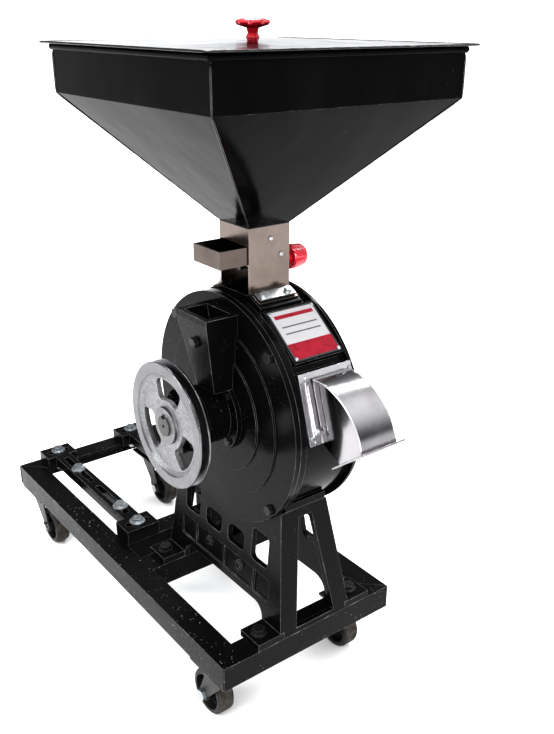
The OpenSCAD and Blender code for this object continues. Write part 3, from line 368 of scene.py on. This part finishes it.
# the spout's sheet: colour, roughness, grain, marks, scale of the marks, edge in mm
POLISHED = ((0.36, 0.352, 0.36), 0.12, (1, 1, 1), 0.14, 22, 0.6)
POLISH_STAIN = (0.19, 0.17, 0.175)
HOOD_AXIS = (AXIS_X + 166.6 * MM, AXIS_Z - 4 * MM)
look = {
    "frame_paint": black_paint("frame_paint", BLACK, 0.24, 220, 0.3, 1.0, 0.02, spec=0.1,
                               edge=1.3, sheen=0.45, specks=0.8),
    "casting_paint": black_paint("casting_paint", BLACK, 0.2, 130, 0.3, 0.6, 0.012, spec=0.1,
                                 edge=1.5, sheen=0.5),
    "drum_paint": black_paint("drum_paint", BLACK, 0.16, 60, 0.05, 0.6, 0.008, rings=True,
                              edge=0.8, sheen=0.6),
    "hopper_paint": sheet_gloss("hopper_paint", (0.003, 0.003, 0.0034), 0.1, 2.2),
    "seam_gloss": sheet_gloss("seam_gloss", (0.005, 0.005, 0.0055), 0.16, 0.8, spec=0.45),
    "feed_tray": metal("feed_tray", (0.13, 0.108, 0.096), 0.24, (1, 1, 5), 0.12, 14, 0.6,
                       tint=(0.07, 0.055, 0.048), dirt=0.7),
    "spout_plate": metal("spout_plate", (0.56, 0.55, 0.565), 0.24, (1, 1, 1), 0.16, 30, 0.6,
                         tint=(0.3, 0.275, 0.285), dirt=0.5),
    "stainless": metal("stainless", (0.215, 0.182, 0.162), 0.24, (1, 1, 5), 0.08, 14, 0.6,
                       tint=(0.13, 0.105, 0.09), dirt=0.6),
    "polished_stainless": metal("polished_stainless", *POLISHED, tint=POLISH_STAIN, dirt=0.5),
    "spout_hood": metal("spout_hood", *POLISHED, tint=POLISH_STAIN, dirt=0.5, bend=HOOD_AXIS),
    "cast_aluminium": turned_aluminium("cast_aluminium"),
    "zinc": metal("zinc", (0.48, 0.505, 0.525), 0.28, (1, 1, 1), 0.3, 160, 0.4,
                  tint=(0.3, 0.28, 0.24), dirt=0.5),
    "black_bolt": black_paint("black_bolt", (0.009, 0.009, 0.0095), 0.28, 300, 0.2, 0.7, 0.04, spec=0.25,
                              edge=0.6, sheen=0.5),
    "steel": metal("steel", (0.11, 0.108, 0.106), 0.45, (1, 14, 1), 0.2, 90, 0.5, tint=(0.08, 0.06, 0.045)),
    "bearing_steel": metal("bearing_steel", (0.55, 0.56, 0.57), 0.25, (1, 10, 1), 0.12, 90, 0.4),
    "caster_steel": metal("caster_steel", (0.06, 0.059, 0.058), 0.38, (1, 1, 1), 0.3, 90, 0.7,
                          tint=(0.04, 0.033, 0.028), dirt=0.6),
    "red_plastic": plastic("red_plastic", (0.5, 0.01, 0.03), 0.26),
    "nameplate": printed_plate("nameplate", math.radians(52.6), 0.1705, (-0.035, 0.051), 0.045),
}
for k in range(1, 5):
    low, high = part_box(f"caster_wheel_{k}")
    look[f"wheel_{k}"] = wheel_material(f"caster_wheel_{k}", (low + high) / 2)


def wear(obj, material):
    """Gives an object one material in place of its own."""
    obj.data.materials.clear()
    obj.data.materials.append(material)


for part in frame["record"]["subparts"]:
    name, slot_name = part["node"], part["material_slot"]
    if slot_name == "caster_wheel":
        slot_name = "wheel_" + name[-1]
    wear(nodes[name], look.get(name, look[slot_name]))

# ---------------------------------------------------------------- details


def piece(name, verts, faces, body, slot_name, finish=None):
    """A new mesh piece, smooth shaded, riding on a CAD body; finish varies its slot's material."""
    mesh = bpy.data.meshes.new(name)
    mesh.from_pydata([tuple(v) for v in verts], [], faces)
    mesh.shade_smooth()
    made = bpy.data.objects.new(name, mesh)
    scene.collection.objects.link(made)
    wear(made, look[finish or slot_name])
    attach(made, body)
    return made


def tube_faces(first, rings, sides):
    """Faces of a closed tube of rings of points, whose first point has the index first."""
    faces = []
    for k in range(rings - 1):
        for turn in range(sides):
            a, b = first + k * sides + turn, first + k * sides + (turn + 1) % sides
            faces.append((a, b, b + sides, a + sides))
    faces.append(tuple(range(first + sides - 1, first - 1, -1)))
    faces.append(tuple(range(first + (rings - 1) * sides, first + rings * sides)))
    return faces


def bead(name, runs, radius, body, slot_name, ripple=0.2, pitch=3.2 * MM, finish=None, sides=8):
    """Weld beads or rolled seams: one closed tube for each run of corner points."""
    verts, faces = [], []
    for corners in runs:
        stations = []
        for a, b in zip(corners[:-1], corners[1:]):
            a, b = Vector(a), Vector(b)
            count = max(2, int((b - a).length / pitch))
            stations += [a.lerp(b, k / count) for k in range(count)]
        stations.append(Vector(corners[-1]))
        first, last = len(verts), len(stations) - 1
        for k, spot in enumerate(stations):
            ahead = (stations[min(k + 1, last)] - stations[max(k - 1, 0)]).normalized()
            side = ahead.cross((0.31, 0.17, 0.93)).normalized()
            up = ahead.cross(side)
            swell = 1 + ripple * (math.sin(2.1 * k) * 0.5 + noise.noise(spot * 260))
            size = radius * min(1.0, swell) * (0.45 if k in (0, last) else 1.0)
            for turn in range(sides):
                angle = 2 * math.pi * turn / sides
                verts.append(spot + size * (math.cos(angle) * side + math.sin(angle) * up))
        faces += tube_faces(first, len(stations), sides)
    return piece(name, verts, faces, body, slot_name, finish)


def turned(name, places, along, profile, body, slot_name, sides=20):
    """The same turned head at each place: profile is (radius, height) from the seat outwards."""
    along = Vector(along).normalized()
    side = along.cross((0.0, 1.0, 0.0) if abs(along.y) < 0.9 else (1.0, 0.0, 0.0)).normalized()
    up = along.cross(side)
    verts, faces = [], []
    for place in places:
        first = len(verts)
        for radius, height in profile:
            for turn in range(sides):
                angle = 2 * math.pi * turn / sides
                verts.append(Vector(place) + height * along
                             + radius * (math.cos(angle) * side + math.sin(angle) * up))
        faces += tube_faces(first, len(profile), sides)
    return piece(name, verts, faces, body, slot_name)


def rounded_strip(name, frame_of, x_range, y_range, z_range, corner, body, slot_name, finish=None):
    """A sheet strip with rounded corners and softened rims, placed by frame_of(x, y, z)."""
    y_mid, z_mid = sum(y_range) / 2, sum(z_range) / 2
    wide, tall = (y_range[1] - y_range[0]) / 2, (z_range[1] - z_range[0]) / 2
    ring = []
    for quarter, (sy, sz) in enumerate(((1, 1), (-1, 1), (-1, -1), (1, -1))):
        for k in range(6):
            angle = math.pi / 2 * (quarter + k / 5)
            ring.append((sy * (wide - corner) + corner * math.cos(angle),
                         sz * (tall - corner) + corner * math.sin(angle)))
    low, high = x_range
    soft = min(0.35 * (high - low), corner * 0.6)
    levels = ((low, 0.0), (high - soft, 0.0), (high - 0.3 * soft, 0.3 * soft), (high, soft),
              (high, wide * 0.6))
    verts = []
    for x, inset in levels:
        for y, z in ring:
            verts.append(frame_of(x, y_mid + y * max(0.05, 1 - inset / wide),
                                  z_mid + z * max(0.05, 1 - inset / tall)))
    return piece(name, verts, tube_faces(0, len(levels), len(ring)), body, slot_name, finish)


# half section of a screw's head: radius and height in mm, with the recess for the driver
PAN_HEAD = [(r * MM, h * MM) for r, h in ((3.3, -0.2), (3.5, 0.3), (3.4, 1.0), (2.9, 1.6),
                                          (2.1, 1.95), (1.2, 2.05), (1.0, 1.3), (0.2, 1.2))]

# hopper: welded seams up the corners and the funnel's ridges, and a weld round the neck
BAND_HEIGHT = 55.5 * MM
NECK_REACH = 34.2 * MM


def square(x, reach):
    """Corners of a level square round the hopper's axis, in order from the pulley's side."""
    return [(x + sx * reach, sy * reach) for sx, sy in ((1, -1), (1, 1), (-1, 1), (-1, -1))]


hopper_low, hopper_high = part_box("hopper")
bracket_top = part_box("feed_bracket")[1].z
band_foot = hopper_high.z - BAND_HEIGHT
middle = (hopper_high.x + hopper_low.x) / 2
corners = square(middle, (hopper_high.x - hopper_low.x) / 2)
neck = square(middle, NECK_REACH)
bead("hopper_corner_seams", [[(x, y, band_foot), (x, y, hopper_high.z - 4 * MM)] for x, y in corners],
     1.5 * MM, "mill_body", "hopper_paint", 0.12, 6 * MM, "seam_gloss")
bead("hopper_ridge_seams", [[(a, b, bracket_top + 1.5 * MM), (x, y, band_foot)]
                            for (a, b), (x, y) in zip(neck, corners)],
     1.3 * MM, "mill_body", "hopper_paint", 0.25, 7 * MM, "seam_gloss")
bead("hopper_neck_weld", [[(x, y, bracket_top + 0.8 * MM) for x, y in neck + neck[:1]]],
     1.4 * MM, "mill_body", "hopper_paint", 0.4, finish="seam_gloss")

# lid: the hemmed lower edge
LID_DEPTH = 7.5 * MM
HEM = 1.6 * MM
HEM_LIFT = 0.4 * MM
lid_low, lid_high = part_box("hopper_lid")
left, right = lid_low.x + HEM, lid_high.x - HEM
near, far = lid_low.y + HEM, lid_high.y - HEM
rim = [(x, y, lid_high.z - LID_DEPTH + HEM_LIFT) for x, y in
       ((right, near), (right, far), (left, far), (left, near))]
bead("lid_hem", [rim + rim[:1]], HEM * 0.95, "lid_body", "hopper_paint", 0.12, 9 * MM, "seam_gloss")

# base: a weld along each mitre of the angle iron and one down each corner
LEG = 40 * MM
base_low, base_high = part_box("base_frame")
weld_top = base_high.z - 0.5 * MM
mitres = []
for x, sx in ((base_low.x, 1), (base_high.x, -1)):
    for y, sy in ((base_low.y, 1), (base_high.y, -1)):
        mitres.append([(x + sx * 2.5 * MM, y + sy * 1.5 * MM, weld_top),
                       (x + sx * LEG, y + sy * LEG, weld_top)])
        corner_x, corner_y = x + sx * 2.4 * MM, y + sy * 0.6 * MM
        mitres.append([(corner_x, corner_y, base_high.z - 1 * MM),
                       (corner_x, corner_y, base_low.z + 6 * MM)])
bead("frame_mitre_welds", mitres, 1.6 * MM, "mill_body", "frame_paint", 0.5, 2.2 * MM)

# feed bracket: two screws in the side that holds the gate's guide, as y and drop from the top
BRACKET_SIDE = 35 * MM
GUIDE_SCREWS = ((2 * MM, 17.4 * MM), (20 * MM, 42 * MM))
turned("guide_screws", [(AXIS_X + BRACKET_SIDE, y, bracket_top - drop) for y, drop in GUIDE_SCREWS],
       (1, 0, 0), PAN_HEAD, "mill_body", "zinc")

# spout plate: a tab under the left screws, with a folded ridge beside it
SPOUT_ANGLE = math.radians(17)
SPOUT_FACE = 174 * MM
TAB_ACROSS = (-30 * MM, -20.6 * MM)
TAB_UP = (-37 * MM, 33 * MM)
TAB_SCREW = (-25.5 * MM, -31 * MM)
FOLD = ((-32 * MM, -47 * MM), (-32 * MM, 40 * MM), (-29 * MM, 46 * MM))


def on_spout(x, y, z):
    """A point in the plate's own frame: x out of the plate from the shaft's axis, z up it."""
    c, d = math.cos(SPOUT_ANGLE), math.sin(SPOUT_ANGLE)
    return (AXIS_X + x * c - z * d, y, AXIS_Z + x * d + z * c)


rounded_strip("spout_tab", on_spout, (SPOUT_FACE - 0.2 * MM, SPOUT_FACE + 1.2 * MM), TAB_ACROSS, TAB_UP,
              3.5 * MM, "mill_body", "polished_stainless", "spout_plate")
turned("spout_tab_screw", [on_spout(SPOUT_FACE + 1.1 * MM, *TAB_SCREW)],
       (math.cos(SPOUT_ANGLE), 0, math.sin(SPOUT_ANGLE)), PAN_HEAD, "mill_body", "zinc")
bead("spout_fold", [[on_spout(SPOUT_FACE + 0.3 * MM, y, z) for y, z in FOLD]],
     1.5 * MM, "mill_body", "polished_stainless", 0.1, 6 * MM, "spout_plate")

# spout hood: a seam along each side of its curve, and the hem of the lip round the mouth
HOOD_START, HOOD_SWEEP, HOOD_STEPS = 94, 80, 24
HOOD_SIDES = (-20.5 * MM, 41 * MM)
SEAM_SIDES = (-20.3 * MM, 40.8 * MM)
LIP_WIDTH = 9 * MM
HEM_INSET = 1.7 * MM


def on_hood(radius, degrees, y=0):
    """A point at a radius and an angle round the hood's axis."""
    angle = math.radians(degrees)
    return (HOOD_AXIS[0] + radius * math.cos(angle), y, HOOD_AXIS[1] + radius * math.sin(angle))


arc = [HOOD_START - k * HOOD_SWEEP / HOOD_STEPS for k in range(HOOD_STEPS + 1)]
bead("hood_seams", [[on_hood(94.2 * MM, degrees, y) for degrees in arc] for y in SEAM_SIDES],
     1.3 * MM, "mill_body", "polished_stainless", 0.12, 5 * MM, "spout_plate")
mouth_in = Vector((AXIS_X + 219 * MM, 0, AXIS_Z - 14 * MM))
mouth_out = Vector(on_hood(94.7 * MM, 12.9))
outward = (mouth_out - mouth_in).normalized()
lip = LIP_WIDTH - HEM_INSET
lip_in, lip_out = mouth_in - outward * lip, mouth_out + outward * lip
near, far = HOOD_SIDES[0] - lip, HOOD_SIDES[1] + lip
lip_corners = [(lip_in.x, near, lip_in.z), (lip_out.x, near, lip_out.z),
               (lip_out.x, far, lip_out.z), (lip_in.x, far, lip_in.z)]
bead("spout_lip_hem", [lip_corners], 1.6 * MM, "mill_body", "polished_stainless", 0.15, 7 * MM,
     "spout_plate")

# ---------------------------------------------------------- floor, lights

FLOOR_REACH = 9.0
FLOOR_SIDES = 96
turns = [2 * math.pi * k / FLOOR_SIDES for k in range(FLOOR_SIDES)]
floor_mesh = bpy.data.meshes.new("floor")
floor_mesh.from_pydata([(FLOOR_REACH * math.cos(a), FLOOR_REACH * math.sin(a), 0) for a in turns],
                       [], [tuple(range(FLOOR_SIDES))])
floor = bpy.data.objects.new("floor", floor_mesh)
scene.collection.objects.link(floor)
floor_paint = Paint("floor", (0.86, 0.86, 0.86), 0.7, spec=0.15)
floor_paint.set("Roughness", floor_paint.ramp(floor_paint.noise(3), 0.3, 0.7, 0.6, 0.8))
wear(floor, floor_paint.material)

# bright areas of the studio: direction, cosine where it starts, cosine where it is full, strength
SKY_PATCHES = (((0.1, -0.1, 1), 0.35, 0.85, 0.95), ((-0.6, -0.7, 0.35), 0.9, 0.97, 0.7),
               ((0.3, 0.9, 0.5), 0.84, 0.97, 0.8))
EVEN_LIGHT = 0.2
world = bpy.data.worlds.new("studio")
world.use_nodes = True
sky = world.node_tree
scene.world = world
sky_way = add(sky, "TexCoord").outputs["Generated"]


def patch(direction, start, full, strength):
    """A soft bright area of the studio around a direction."""
    aim = Vector(direction).normalized()
    toward = add(sky, "VectorMath", {0: sky_way, 1: tuple(aim)}, operation="DOT_PRODUCT")
    return add(sky, "MapRange", {"Value": toward.outputs["Value"], "From Min": start, "From Max": full,
                                 "To Min": 0.0, "To Max": strength},
               interpolation_type="SMOOTHSTEP").outputs[0]


height = add(sky, "SeparateXYZ", {0: sky_way}).outputs["Z"]
level = add(sky, "Math", {0: height}, operation="ABSOLUTE").outputs[0]
horizon = add(sky, "MapRange", {"Value": level, "From Min": 0.1, "From Max": 0.22,
                                "To Min": 0.95, "To Max": 0.0}).outputs[0]
glow = EVEN_LIGHT
for bright in [horizon] + [patch(*values) for values in SKY_PATCHES]:
    glow = add(sky, "Math", {0: glow, 1: bright}, operation="ADD").outputs[0]
background = sky.nodes["Background"]
background.inputs["Color"].default_value = (0.97, 0.98, 1.0, 1.0)
sky.links.new(glow, background.inputs["Strength"])


def lamp(name, kind, place, target, power, colour=(1, 1, 1)):
    """A light at a place that points at a target; returns its data."""
    data = bpy.data.lights.new(name, kind)
    data.energy = power
    data.color = colour
    made = bpy.data.objects.new(name, data)
    made.location = place
    made.rotation_euler = (Vector(target) - Vector(place)).to_track_quat("-Z", "Y").to_euler()
    scene.collection.objects.link(made)
    return data


def softbox(name, place, target, size, power, colour=(1, 1, 1)):
    """A rectangular area light of a width and a height."""
    data = lamp(name, "AREA", place, target, power, colour)
    data.shape = "RECTANGLE"
    data.size, data.size_y = size


overhead = lamp("overhead", "SUN", (0.4, -0.8, 4.0), (0.1, 0, 0.3), 2.6)
overhead.angle = math.radians(70)
softbox("right_strip", (2.3, -0.6, 1.1), (0.1, 0, 0.5), (0.1, 1.6), 22, (1.0, 0.98, 0.95))
softbox("left_strip", (-0.9, -2.3, 1.2), (0.1, 0, 0.5), (0.12, 1.6), 16, (0.96, 0.98, 1.0))
softbox("near_tube", (1.6, -1.7, 2.6), (0.1, 0, 0.6), (1.5, 0.08), 22)
softbox("far_tube", (-0.8, 1.3, 2.4), (0.1, 0, 0.8), (1.8, 0.08), 22)
